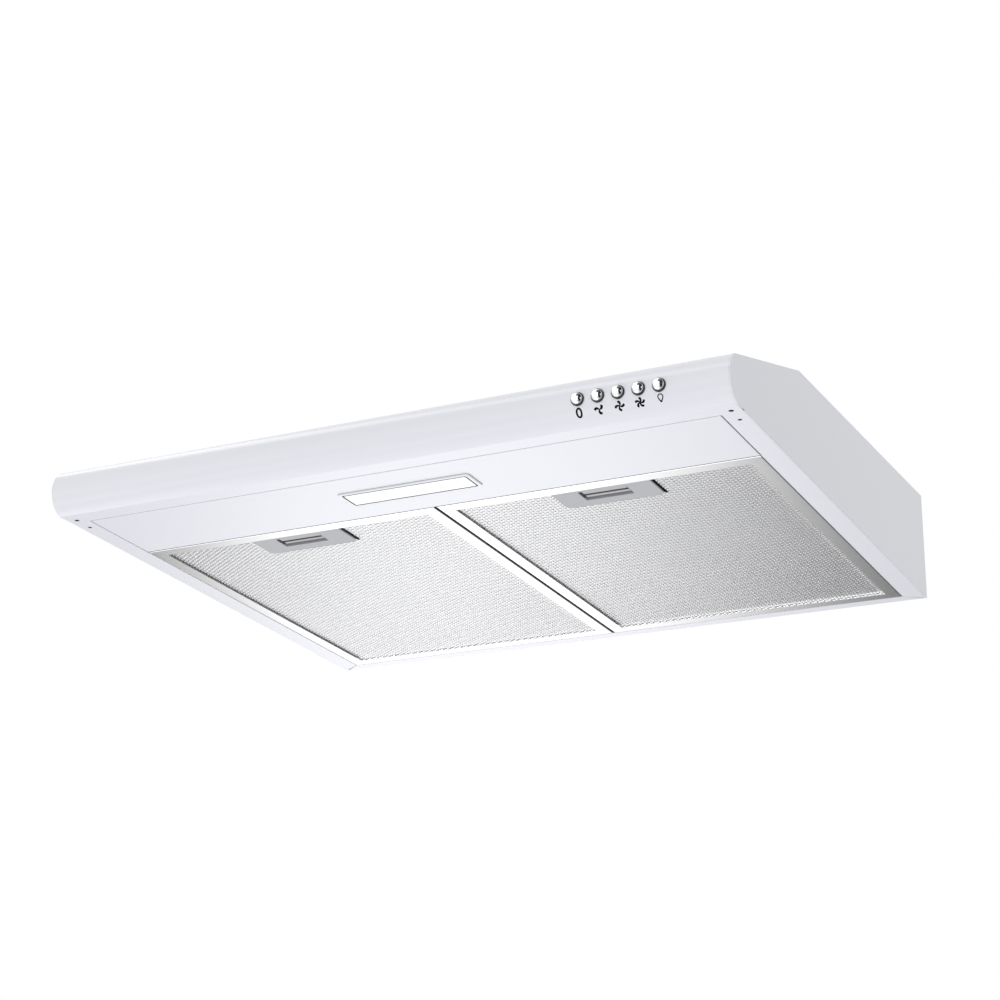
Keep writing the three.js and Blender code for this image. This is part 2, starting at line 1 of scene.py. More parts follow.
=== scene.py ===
import bpy
import bmesh
import math
from mathutils import Matrix, Vector


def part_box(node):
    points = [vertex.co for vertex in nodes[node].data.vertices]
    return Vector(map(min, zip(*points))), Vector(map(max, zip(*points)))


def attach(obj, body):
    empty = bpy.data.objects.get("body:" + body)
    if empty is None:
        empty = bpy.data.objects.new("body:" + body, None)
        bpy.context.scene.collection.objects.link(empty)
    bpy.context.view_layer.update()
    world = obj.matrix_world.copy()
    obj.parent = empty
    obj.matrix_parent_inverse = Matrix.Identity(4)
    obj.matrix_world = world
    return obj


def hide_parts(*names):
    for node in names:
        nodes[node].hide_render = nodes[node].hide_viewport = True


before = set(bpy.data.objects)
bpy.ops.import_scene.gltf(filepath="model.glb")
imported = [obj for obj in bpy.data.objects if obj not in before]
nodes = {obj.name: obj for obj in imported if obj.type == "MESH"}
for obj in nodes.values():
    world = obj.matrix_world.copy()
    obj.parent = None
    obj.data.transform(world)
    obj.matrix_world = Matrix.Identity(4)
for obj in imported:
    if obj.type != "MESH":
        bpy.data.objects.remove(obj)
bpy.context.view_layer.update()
print("frame loaded:", len(nodes), "nodes")

# Lengths are in millimetres up to the moment a mesh is made. X runs across the hood, y is minus the
# distance from the wall, z is up from the top face. The underside pieces are drawn level and then tilted.
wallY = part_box("canopy_shell")[1][1]
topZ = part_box("canopy_shell")[1][2]
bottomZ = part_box("side_panel_left")[0][2]
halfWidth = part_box("side_panel_right")[1][0] * 1000
hoodDepth = (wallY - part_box("front_fascia")[0][1]) * 1000
backHeight = (topZ - bottomZ) * 1000

canopy = {"sheet": 1.0, "gap": 0.3, "bend": 1.8, "sideBend": 1.3, "topDepth": 332.8, "noseRadius": 21,
          "noseDrop": 57.8, "apexAngle": 62, "chinAngle": -69, "lip": 12.8, "hem": 14, "flangeInner": 281.7,
          "sideFlange": 458.62, "fasciaFlange": 458.7, "edge": 0.12, "seam": 0.04, "ductHole": 60,
          "glandHole": 8.3, "keyHead": 4.5, "keyholes": [(240, 60), (240, 300)],
          "keySlot": [(-2.5, 0), (2.5, 0), (2.5, 7), (1.8, 8.4), (0, 9), (-1.8, 8.4), (-2.5, 7)],
          "wallKeyhole": (200, 30), "wallSlotTop": 22, "screwHole": 2.3, "fasciaScrew": (291, 463.5, 2.1),
          "flangeRivet": (291, 445.5, 1.8), "buttonHole": 4.9,
          "rivet": [(0, 0.12), (1.0, 0.16), (1.75, 0.5), (1.75, 2.6), (0, 2.6)],
          "weld": {"inner": 287, "edge": 0.5, "front": 320, "rear": 20, "low": -2.3, "high": -1.3}}
buttonNames = ("off", "speed_low", "speed_mid", "speed_high", "lamp")


def noseAt(angle, radius=None):
    radius = radius or canopy["noseRadius"]
    turn = math.radians(angle)
    depth = hoodDepth - canopy["noseRadius"]
    return (-depth - radius * math.cos(turn), -canopy["noseDrop"] + radius * math.sin(turn))


apex = noseAt(canopy["apexAngle"])
chin = noseAt(canopy["chinAngle"])
tilt = math.atan2(backHeight + chin[1], -chin[0])
hoodSpace = Matrix.Translation((0, wallY, topZ)) @ Matrix.Scale(0.001, 4)
underSpace = Matrix.Translation((0, wallY, bottomZ)) @ Matrix.Rotation(-tilt, 4, "X") @ Matrix.Scale(0.001, 4)


# the middle of a CAD piece's box
def middleOf(node):
    low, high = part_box(node)
    return (low[0] + high[0]) * 500, ((low[1] + high[1]) / 2 - wallY) * 1000, (low[2] + high[2]) * 500


def titled(name):
    return name.title().replace("_", "")


def placed(name, data):
    obj = bpy.data.objects.new(name, data)
    bpy.context.collection.objects.link(obj)
    return obj


def camera(view):
    turn, rise, roll = (math.radians(view[key]) for key in ("azimuth", "elevation", "roll"))
    ahead = Vector((-math.sin(turn) * math.cos(rise), math.cos(turn) * math.cos(rise), math.sin(rise)))
    level = Vector((math.cos(turn), math.sin(turn), 0))
    upright = level.cross(ahead)
    across = level * math.cos(roll) + upright * math.sin(roll)
    above = upright * math.cos(roll) - level * math.sin(roll)
    data = bpy.data.cameras.new("camera")
    data.lens = view["lens"]
    data.sensor_width = 36
    data.clip_end = 50
    eye = placed("camera", data)
    eye.matrix_world = Matrix.Translation(view["place"]) @ Matrix((across, above, -ahead)).transposed().to_4x4()
    bpy.context.scene.camera = eye


camera({"place": (0.8201, wallY - 1.8908, -0.6669), "azimuth": 26.639, "elevation": 18.954, "roll": 0.328,
        "lens": 80.6})


def newMaterial(name):
    material = bpy.data.materials.new(name)
    material.use_nodes = True
    shader = material.node_tree.nodes["Principled BSDF"]
    return material, material.node_tree, shader


# a new node: each value goes to its property of that name, or else to its input, linked or set
def newNode(tree, kind, **values):
    node = tree.nodes.new(kind)
    for key, value in values.items():
        if hasattr(node, key):
            setattr(node, key, value)
            continue
        socket = node.inputs[key.replace("_", " ")]
        if isinstance(value, bpy.types.NodeSocket):
            tree.links.new(value, socket)
        else:
            socket.default_value = value
    return node


def toneBetween(tree, shader, share, dark, light):
    tone = newNode(tree, "ShaderNodeMix", data_type="RGBA")
    tone.inputs[6].default_value = (*dark, 1)
    tone.inputs[7].default_value = (*light, 1)
    tree.links.new(share, tone.inputs[0])
    tree.links.new(tone.outputs[2], shader.inputs["Base Color"])


def roughBand(tree, shader, share, middle, spread):
    shine = newNode(tree, "ShaderNodeMapRange", To_Min=middle - spread, To_Max=middle + spread, Value=share)
    tree.links.new(shine.outputs[0], shader.inputs["Roughness"])


def fineBump(tree, shader, height, strength, distance=0.0001):
    bump = newNode(tree, "ShaderNodeBump", Strength=strength, Distance=distance, Height=height)
    tree.links.new(bump.outputs[0], shader.inputs["Normal"])


# a coat or moulded surface: a fine grain in the bump, a slow drift in the colour and a patchy roughness
def surface(name, look):
    material, tree, shader = newMaterial(name)
    place = newNode(tree, "ShaderNodeTexCoord").outputs["Object"]
    spread = newNode(tree, "ShaderNodeMapping", Scale=look.get("stretch", (1, 1, 1)), Vector=place)
    grain = newNode(tree, "ShaderNodeTexNoise", Scale=look["grain"], Detail=3, Vector=spread.outputs[0])
    drift = newNode(tree, "ShaderNodeTexNoise", Scale=look.get("drift", 9), Detail=2, Vector=place)
    dark = [c * (1 - look.get("tone", 0.02)) for c in look["colour"]]
    toneBetween(tree, shader, drift.outputs["Fac"], dark, look["colour"])
    roughBand(tree, shader, grain.outputs["Fac"], look["rough"], look.get("roughDrift", 0.03))
    fineBump(tree, shader, grain.outputs["Fac"], look.get("bump", 0.2), look.get("relief", 0.0001))
    shader.inputs["Metallic"].default_value = look.get("metal", 0)
    shader.inputs["Specular IOR Level"].default_value = look.get("specular", 0.5)
    if look.get("glow"):
        shader.inputs["Emission Color"].default_value = (1, 1, 1, 1)
        shader.inputs["Emission Strength"].default_value = look["glow"]
    return material


# zinc coat: crystals a few millimetres across that differ a little in tone and shine
def zincCoat(name, look):
    material, tree, shader = newMaterial(name)
    place = newNode(tree, "ShaderNodeTexCoord").outputs["Object"]
    crystals = newNode(tree, "ShaderNodeTexVoronoi", Scale=look["crystal"], Vector=place)
    fine = newNode(tree, "ShaderNodeTexNoise", Scale=look["grain"], Detail=4, Vector=place)
    grey = newNode(tree, "ShaderNodeSeparateColor", Color=crystals.outputs["Color"])
    toneBetween(tree, shader, grey.outputs[0], look["dark"], look["light"])
    roughBand(tree, shader, grey.outputs[1], look["rough"], 0.08)
    fineBump(tree, shader, fine.outputs["Fac"], 0.15)
    shader.inputs["Metallic"].default_value = look["metal"]
    return material


silverCoat = surface("silverCoat", {"colour": (0.80, 0.81, 0.865), "rough": 0.2, "grain": 900, "bump": 0.02,
                                    "specular": 0.6, "roughDrift": 0.02, "tone": 0.012, "drift": 6})
filterAlloy = surface("filterAlloy", {"colour": (0.95, 0.95, 0.96), "rough": 0.2, "metal": 1, "grain": 260,
                                      "stretch": (0.15, 6, 6), "bump": 0.05, "tone": 0.02})
meshAlloy = surface("meshAlloy", {"colour": (0.95, 0.95, 0.96), "rough": 0.26, "metal": 1, "grain": 500,
                                  "bump": 0.1, "tone": 0.04})
packAlloy = surface("packAlloy", {"colour": (0.82, 0.82, 0.84), "rough": 0.35, "metal": 1, "grain": 420,
                                  "bump": 0.5, "relief": 0.0004, "tone": 0.3, "drift": 400})
latchGrey = surface("latchGrey", {"colour": (0.47, 0.475, 0.495), "rough": 0.5, "specular": 0.2,
                                  "grain": 2600, "bump": 0.12, "tone": 0.02})
blackMoulding = surface("blackMoulding", {"colour": (0.022, 0.022, 0.024), "rough": 0.5, "grain": 1900,
                                          "bump": 0.2, "tone": 0.2})
wheelMoulding = surface("wheelMoulding", {"colour": (0.035, 0.035, 0.038), "rough": 0.42, "grain": 1400,
                                          "bump": 0.12, "tone": 0.2})
damperGrey = surface("damperGrey", {"colour": (0.30, 0.30, 0.31), "rough": 0.48, "grain": 1700, "bump": 0.15})
chromePlate = surface("chromePlate", {"colour": (0.80, 0.81, 0.83), "rough": 0.07, "metal": 1, "grain": 700,
                                      "bump": 0.02, "roughDrift": 0.02})
opalLens = surface("opalLens", {"colour": (0.93, 0.93, 0.93), "rough": 0.35, "grain": 1200, "bump": 0.05,
                                "glow": 0.12, "tone": 0.01})
whiteMoulding = surface("whiteMoulding", {"colour": (0.88, 0.89, 0.91), "rough": 0.38, "grain": 1500,
                                          "bump": 0.08})
boardMask = surface("boardMask", {"colour": (0.80, 0.82, 0.78), "rough": 0.3, "grain": 1100, "bump": 0.1})
printInk = surface("printInk", {"colour": (0.008, 0.008, 0.010), "rough": 0.8, "grain": 3000, "bump": 0.1,
                                "specular": 0.05})
# near-black, used for strips and rings that paint the shade in gaps between parts
gapShadeBlack = surface("gapShadeBlack", {"colour": (0.006, 0.006, 0.007), "rough": 0.9, "grain": 2200, "bump": 0.3,
                                  "specular": 0.05})
wireSheath = surface("wireSheath", {"colour": (0.025, 0.025, 0.027), "rough": 0.55, "grain": 900, "bump": 0.3})
blackSteel = surface("blackSteel", {"colour": (0.014, 0.014, 0.016), "rough": 0.65, "specular": 0.2,
                                    "grain": 1500, "bump": 0.1, "tone": 0.2})
# near-black, used on the latch slider to paint the shade inside the latch window
latchPaintedShade = surface("latchPaintedShade", {"colour": (0.035, 0.035, 0.038), "rough": 0.6, "specular": 0.2,
                                    "grain": 2600, "bump": 0.12})
zincSteel = zincCoat("zincSteel", {"dark": (0.42, 0.44, 0.46), "light": (0.62, 0.64, 0.66), "crystal": 260,
                                   "grain": 900, "rough": 0.38, "metal": 0.9})
motorCase = zincCoat("motorCase", {"dark": (0.46, 0.47, 0.48), "light": (0.58, 0.59, 0.6), "crystal": 500,
                                   "grain": 1200, "rough": 0.42, "metal": 0.85})
print("materials made:", len(bpy.data.materials))


def meshObject(name, verts, faces, space=hoodSpace):
    mesh = bpy.data.meshes.new(name)
    mesh.from_pydata([space @ Vector(v) for v in verts], [], faces)
    return placed(name, mesh)


def facesOf(verts, faces):
    bm = bmesh.new()
    made = [bm.verts.new(v) for v in verts]
    for face in faces:
        bm.faces.new([made[v] for v in face])
    return bm


def objectOf(name, bm):
    mesh = bpy.data.meshes.new(name)
    bm.to_mesh(mesh)
    bm.free()
    return placed(name, mesh)


def fromBmesh(name, bm, space=hoodSpace):
    bmesh.ops.recalc_face_normals(bm, faces=bm.faces)
    bm.transform(space)
    return objectOf(name, bm)


# turns an object with its modifiers into a plain mesh
def bake(obj):
    graph = bpy.context.evaluated_depsgraph_get()
    mesh = bpy.data.meshes.new_from_object(obj.evaluated_get(graph))
    obj.modifiers.clear()
    obj.data = mesh
    mesh.name = obj.name
    return obj


def discard(objs):
    for obj in objs:
        bpy.data.objects.remove(obj)


def cutAway(obj, tools):
    for tool in tools:
        modifier = obj.modifiers.new("cut", "BOOLEAN")
        modifier.operation = "DIFFERENCE"
        modifier.solver = "EXACT"
        modifier.object = tool
    bake(obj)
    discard(tools)
    return obj


def softenEdges(obj, width, segments=2, angle=35):
    modifier = obj.modifiers.new("edges", "BEVEL")
    modifier.width = width / 1000
    modifier.segments = segments
    modifier.limit_method = "ANGLE"
    modifier.angle_limit = math.radians(angle)
    modifier.use_clamp_overlap = True
    return bake(obj)


def finishPiece(obj, material, body, replaced=(), smooth=32, weighted=True):
    mesh = obj.data
    mesh.materials.clear()
    mesh.materials.append(material)
    mesh.shade_smooth()
    mesh.set_sharp_from_angle(angle=math.radians(smooth))
    if weighted:
        modifier = obj.modifiers.new("normals", "WEIGHTED_NORMAL")
        modifier.keep_sharp = True
        bake(obj)
    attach(obj, body)
    if replaced:
        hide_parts(*replaced)
    return obj


def joined(name, objs):
    bm = bmesh.new()
    for obj in objs:
        bm.from_mesh(obj.data)
    discard(objs)
    return objectOf(name, bm)


def boxPiece(name, x0, x1, y0, y1, z0, z1, space=hoodSpace):
    bm = bmesh.new()
    bmesh.ops.create_cube(bm, size=1)
    for vert in bm.verts:
        vert.co = Vector(((x0 + x1) / 2 + vert.co.x * (x1 - x0), (y0 + y1) / 2 + vert.co.y * (y1 - y0),
                          (z0 + z1) / 2 + vert.co.z * (z1 - z0)))
    return fromBmesh(name, bm, space)


# a round rod between two points
def rodPiece(name, radius, start, end, sides=32, space=hoodSpace):
    along = Vector(end) - Vector(start)
    bm = bmesh.new()
    bmesh.ops.create_cone(bm, cap_ends=True, segments=sides, radius1=radius, radius2=radius, depth=along.length)
    turn = Vector((0, 0, 1)).rotation_difference(along.normalized()).to_matrix().to_4x4()
    bm.transform(Matrix.Translation((Vector(start) + Vector(end)) / 2) @ turn)
    return fromBmesh(name, bm, space)


# a solid turned about an upright line, or about a line along the depth of the hood
def turnedPiece(name, profile, centre, sides=48, axis="Z", space=hoodSpace):
    closed = profile[0][0] > 0
    verts, faces, rings = [], [], []
    for radius, height in profile:
        if radius == 0:
            rings.append([len(verts)] * sides)
            verts.append((0, 0, height))
            continue
        rings.append(list(range(len(verts), len(verts) + sides)))
        for i in range(sides):
            turn = 2 * math.pi * i / sides
            verts.append((radius * math.cos(turn), radius * math.sin(turn), height))
    last = len(rings) if closed else len(rings) - 1
    for i in range(last):
        low, high = rings[i], rings[(i + 1) % len(rings)]
        for j in range(sides):
            k = (j + 1) % sides
            corners = dict.fromkeys((low[j], low[k], high[k], high[j]))  # a pole counts once
            if len(corners) > 2:
                faces.append(list(corners))
    bm = facesOf(verts, faces)
    if axis == "Y":
        bm.transform(Matrix.Rotation(math.radians(90), 4, "X"))
    bm.transform(Matrix.Translation(centre))
    return fromBmesh(name, bm, space)


# rounds the corners of an open line
def roundedLine(points, radius, steps=6):
    line = [points[0]]
    for before, here, after in zip(points, points[1:], points[2:]):
        a, b, c = Vector(before), Vector(here), Vector(after)
        inward, outward = (a - b).normalized(), (c - b).normalized()
        half = inward.angle(outward) / 2
        reach = radius / math.tan(half)
        if math.degrees(half) > 88 or reach > min((a - b).length, (c - b).length) / 2:
            line.append(here)
            continue
        centre = b + (inward + outward).normalized() * radius / math.sin(half)
        start, end = b + inward * reach - centre, b + outward * reach - centre
        for i in range(steps + 1):
            share = i / steps
            spoke = (start * (1 - share) + end * share).normalized() * radius
            line.append(tuple(centre + spoke))
    return line + [points[-1]]


def offsetLine(line, thickness):
    moved = []
    for i, point in enumerate(line):
        here = Vector(point)
        before = (here - Vector(line[i - 1])).normalized() if i else None
        after = (Vector(line[i + 1]) - here).normalized() if i < len(line) - 1 else None
        along = ((before or after) + (after or before)).normalized()
        moved.append(tuple(here + Vector((-along.y, along.x)) * thickness / (before or after).dot(along)))
    return moved


# bent sheet: a line of (y, z) points given a thickness and run across the hood
def bentSheet(name, line, thickness, x0, x1, space=hoodSpace):
    inner = offsetLine(line, thickness)
    verts = [(x, y, z) for x in (x0, x1) for row in (line, inner) for y, z in row]
    count = len(line)
    faces = []
    for i in range(count - 1):
        a, b, c, d = i, i + 1, count + i + 1, count + i
        far = 2 * count
        faces += [(a, b, b + far, a + far), (d, c, c + far, d + far),
                  (a, b, c, d), (a + far, b + far, c + far, d + far)]
    for i in (0, count - 1):
        faces.append((i, i + count, i + 3 * count, i + 2 * count))
    return fromBmesh(name, facesOf(verts, faces), space)


def roundedRectangle(halfX, halfY, radius, steps=6):
    outline = []
    for sx, sy, start in ((1, 1, 0), (-1, 1, 90), (-1, -1, 180), (1, -1, 270)):
        for i in range(steps + 1):
            turn = math.radians(start + 90 * i / steps)
            outline.append((sx * (halfX - radius) + radius * math.cos(turn),
                            sy * (halfY - radius) + radius * math.sin(turn)))
    return outline


def uprightPrism(name, outline, z0, z1, space=hoodSpace):
    bm = bmesh.new()
    low = [bm.verts.new((x, y, z0)) for x, y in outline]
    high = [bm.verts.new((x, y, z1)) for x, y in outline]
    bm.faces.new(low)
    bm.faces.new(high)
    for i in range(len(outline)):
        j = (i + 1) % len(outline)
        bm.faces.new((low[i], low[j], high[j], high[i]))
    return fromBmesh(name, bm, space)


# folded sheet: flat panels that share edges, their folds rounded, then given a thickness on the inside
def foldedSheet(name, verts, faces, bend, space=hoodSpace):
    bm = facesOf(verts, faces)
    bmesh.ops.recalc_face_normals(bm, faces=bm.faces)
    middle = sum((v.co for v in bm.verts), Vector()) / len(bm.verts)
    face = max(bm.faces, key=lambda f: f.calc_area())
    if face.normal.dot(face.calc_center_median() - middle) < 0:
        bmesh.ops.reverse_faces(bm, faces=bm.faces)
    folds = [e for e in bm.edges if len(e.link_faces) == 2 and e.calc_face_angle(0) > math.radians(30)]
    bmesh.ops.bevel(bm, geom=folds, offset=bend, segments=5, affect="EDGES", profile=0.5)
    bm.transform(space)
    obj = objectOf(name, bm)
    modifier = obj.modifiers.new("thickness", "SOLIDIFY")
    modifier.thickness = canopy["sheet"] / 1000
    modifier.offset = -1
    modifier.use_even_offset = True
    return bake(obj)


def newTree(name, sockets):
    tree = bpy.data.node_groups.new(name, "GeometryNodeTree")
    tree.interface.new_socket(name="Geometry", in_out="OUTPUT", socket_type="NodeSocketGeometry")
    for label, kind in sockets:
        tree.interface.new_socket(name=label, in_out="INPUT", socket_type="NodeSocket" + kind)
    return tree, tree.nodes.new("NodeGroupInput"), tree.nodes.new("NodeGroupOutput")


def mathNode(tree, operation, first, second):
    node = tree.nodes.new("ShaderNodeMath")
    node.operation = operation
    for socket, value in zip(node.inputs, (first, second)):
        if isinstance(value, (int, float)):
            socket.default_value = value
        else:
            tree.links.new(value, socket)
    return node.outputs[0]


def runTree(name, tree, values):
    obj = meshObject(name, [], [])
    modifier = obj.modifiers.new("tree", "NODES")
    modifier.node_group = tree
    for item in tree.interface.items_tree:
        if item.item_type == "SOCKET" and item.in_out == "INPUT" and item.name in values:
            modifier[item.identifier] = values[item.name]
    return bake(obj)


# expanded metal: zigzag strands that touch at their peaks, each row half a diamond out of step
def diamondTree():
    tree, given, made = newTree("diamondMesh", [("Across", "Float"), ("Along", "Float"), ("Points", "Int"),
                                                ("Rows", "Int"), ("Width", "Float"), ("Thickness", "Float"),
                                                ("Lift", "Float"), ("Material", "Material")])
    sizes = given.outputs
    halfAcross = mathNode(tree, "MULTIPLY", sizes["Across"], 0.5)
    halfAlong = mathNode(tree, "MULTIPLY", sizes["Along"], 0.5)
    odd = mathNode(tree, "MODULO", newNode(tree, "GeometryNodeInputIndex").outputs[0], 2)
    side = mathNode(tree, "SUBTRACT", odd, 0.5)
    step = newNode(tree, "ShaderNodeCombineXYZ", X=halfAcross)
    line = newNode(tree, "GeometryNodeMeshLine", Count=sizes["Points"], Offset=step.outputs[0])
    sway = newNode(tree, "ShaderNodeCombineXYZ", Y=mathNode(tree, "MULTIPLY", side, halfAlong),
                   Z=mathNode(tree, "MULTIPLY", side, sizes["Lift"]))
    zigzag = newNode(tree, "GeometryNodeSetPosition", Geometry=line.outputs[0], Offset=sway.outputs[0])
    curve = newNode(tree, "GeometryNodeMeshToCurve", Mesh=zigzag.outputs[0])
    upright = newNode(tree, "GeometryNodeSetCurveNormal", mode="Z_UP", Curve=curve.outputs[0])
    section = newNode(tree, "GeometryNodeCurvePrimitiveQuadrilateral", Width=sizes["Width"],
                      Height=sizes["Thickness"])
    strand = newNode(tree, "GeometryNodeCurveToMesh", Curve=upright.outputs[0], Profile_Curve=section.outputs[0])
    apart = newNode(tree, "ShaderNodeCombineXYZ", Y=halfAlong)
    rows = newNode(tree, "GeometryNodeMeshLine", Count=sizes["Rows"], Offset=apart.outputs[0])
    shift = newNode(tree, "ShaderNodeCombineXYZ", X=mathNode(tree, "MULTIPLY", odd, halfAcross))
    stagger = newNode(tree, "GeometryNodeSetPosition", Geometry=rows.outputs[0], Offset=shift.outputs[0])
    spread = newNode(tree, "GeometryNodeInstanceOnPoints", Points=stagger.outputs[0], Instance=strand.outputs[0])
    real = newNode(tree, "GeometryNodeRealizeInstances", Geometry=spread.outputs[0])
    coat = newNode(tree, "GeometryNodeSetMaterial", Geometry=real.outputs[0], Material=sizes["Material"])
    tree.links.new(coat.outputs[0], made.inputs[0])
    return tree


diamonds = diamondTree()


def canopyShell():
    sheet, gap = canopy["sheet"], canopy["gap"]
    edge = halfWidth - sheet - gap
    rise = apex[1] / (apex[0] + canopy["topDepth"])
    lipEnd = (-canopy["lip"] * math.cos(tilt), -backHeight + canopy["lip"] * math.sin(tilt))
    line = roundedLine([lipEnd, (0, -backHeight), (0, 0), (-canopy["topDepth"], 0),
                        (apex[0] + 1, apex[1] + rise)], canopy["bend"])
    shell = bentSheet("canopyShell", line, sheet, -edge, edge)
    ductY = middleOf("outlet_collar")[1]
    glandX, glandY, _ = middleOf("cable_gland")
    tools = [rodPiece("ductHole", canopy["ductHole"], (0, ductY, -5), (0, ductY, 5), 96),
             rodPiece("glandHole", canopy["glandHole"], (glandX, glandY, -5), (glandX, glandY, 5))]
    for x, depth in canopy["keyholes"]:
        for at in (-x, x):
            tools.append(rodPiece("keyHead", canopy["keyHead"], (at, -depth, -5), (at, -depth, 5)))
            tools.append(uprightPrism("keySlot", [(at + a, b - depth) for a, b in canopy["keySlot"]], -5, 5))
    x, drop = canopy["wallKeyhole"]
    for at in (-x, x):
        tools.append(rodPiece("hangHead", canopy["keyHead"], (at, -5, -drop), (at, 5, -drop)))
        tools.append(boxPiece("hangSlot", at - 2.5, at + 2.5, -5, 5, -drop, -canopy["wallSlotTop"]))
    inner, outer, lip = canopy["flangeInner"] - 0.3, edge - 0.3, -canopy["lip"]
    mitre = [(outer, 0.01), (edge + 5, 0.01), (edge + 5, lip - 5), (inner, lip - 5), (inner, lip)]
    for side in (-1, 1):
        tools.append(uprightPrism("mitre", [(side * a, b) for a, b in mitre],
                                  -backHeight - 2, -backHeight + 2.5))
    for i in (1, 2, 3, 4):
        x, y, _ = middleOf(f"housing_screw_{i}")
        tools.append(rodPiece("screwHole", canopy["screwHole"], (x, y, -5), (x, y, 5), 20))
    cutAway(shell, tools)
    softenEdges(shell, canopy["edge"])
    finishPiece(shell, silverCoat, "canopy", ["canopy_shell"])


def sidePanel(side, label):
    name = "sidePanel" + label
    inner, front = canopy["flangeInner"], canopy["sideFlange"]
    plate = [(halfWidth, 0, -backHeight), (halfWidth, 0, 0), (halfWidth, -canopy["topDepth"], 0)]
    steps = 40
    for i in range(steps + 1):
        y, z = noseAt(canopy["apexAngle"] + (canopy["chinAngle"] - canopy["apexAngle"]) * i / steps)
        plate.append((halfWidth, y, z))
    tilted = Matrix.Translation((0, 0, -backHeight)) @ Matrix.Rotation(-tilt, 4, "X")
    edges = [tuple(tilted @ Vector((x, y, 0))) for x, y in (
        (halfWidth, -front), (halfWidth, -1.0), (inner, -front), (inner, -canopy["lip"] - 0.4))]
    verts = [(side * x, y, z) for x, y, z in plate + edges]
    last = len(plate)
    panel = foldedSheet(name, verts, [list(range(last + 2)), [last + 1, last, last + 2, last + 3]],
                        canopy["sideBend"])
    weld = canopy["weld"]
    low, high = sorted((side * weld["inner"], side * (halfWidth - weld["edge"])))
    strip = boxPiece("weldFlange", low, high, -weld["front"], -weld["rear"], weld["low"], weld["high"])
    x, depth, radius = canopy["flangeRivet"]
    cutAway(panel, [rodPiece("pilot", radius, (side * x, -depth, -3), (side * x, -depth, 4), 24, underSpace)])
    softenEdges(panel, canopy["edge"])
    panel = joined(name, [panel, strip])
    rivet = turnedPiece("flangeRivet" + label, canopy["rivet"], (side * x, -depth, 0), 24, "Z", underSpace)
    finishPiece(rivet, blackSteel, "canopy")
    finishPiece(panel, silverCoat, "canopy", ["side_panel_" + label.lower()])


def frontFascia():
    sheet, gap = canopy["sheet"], canopy["gap"]
    edge = halfWidth - sheet - canopy["seam"]
    slope = math.atan2(-apex[1], -apex[0] - canopy["topDepth"])
    under, hem = sheet + gap, canopy["hem"]
    hemStart = (apex[0] + hem * math.cos(slope) - under * math.sin(slope),
                apex[1] + hem * math.sin(slope) - under * math.cos(slope))
    hemEnd = (apex[0] + 0.6 - under * math.sin(slope), apex[1] - under * math.cos(slope) + 0.15)
    flange = canopy["fasciaFlange"]
    flangeEnd = (-flange * math.cos(tilt), -backHeight + flange * math.sin(tilt))
    steps = 72
    start, end = canopy["apexAngle"] - 4, canopy["chinAngle"]
    arc = [noseAt(start + (end - start) * i / steps) for i in range(steps + 1)]
    fascia = bentSheet("frontFascia", [hemStart, hemEnd] + arc + [flangeEnd], sheet, -edge, edge)
    tools = []
    for name in buttonNames:
        x, _, z = middleOf(f"button_{name}")
        tools.append(rodPiece("buttonHole", canopy["buttonHole"], (x, -500, z), (x, -480, z), 48))
    x, depth, radius = canopy["fasciaScrew"]
    for at in (-x, x):
        tools.append(rodPiece("screwHole", radius, (at, -depth, -3), (at, -depth, 4), 32, underSpace))
    cutAway(fascia, tools)
    softenEdges(fascia, canopy["edge"], 2, 50)
    finishPiece(fascia, silverCoat, "canopy", ["front_fascia"])


lampPanelSize = {"front": 458.0, "rear": 374.7, "halfX": 281.15, "aside": -0.35, "frontLip": 6, "rearLip": 12,
                 "endLip": 6, "short": 1.5, "bend": 1.1, "lampY": 417, "lampHalfX": 59.45, "lampHalfY": 13.9,
                 "lampCorner": 3, "tabs": (293, 437.5, 453.5), "gapShadeWidth": 0.5,
                 "sideGapShades": ((-281.68, -281.52), (280.85, 281.6))}


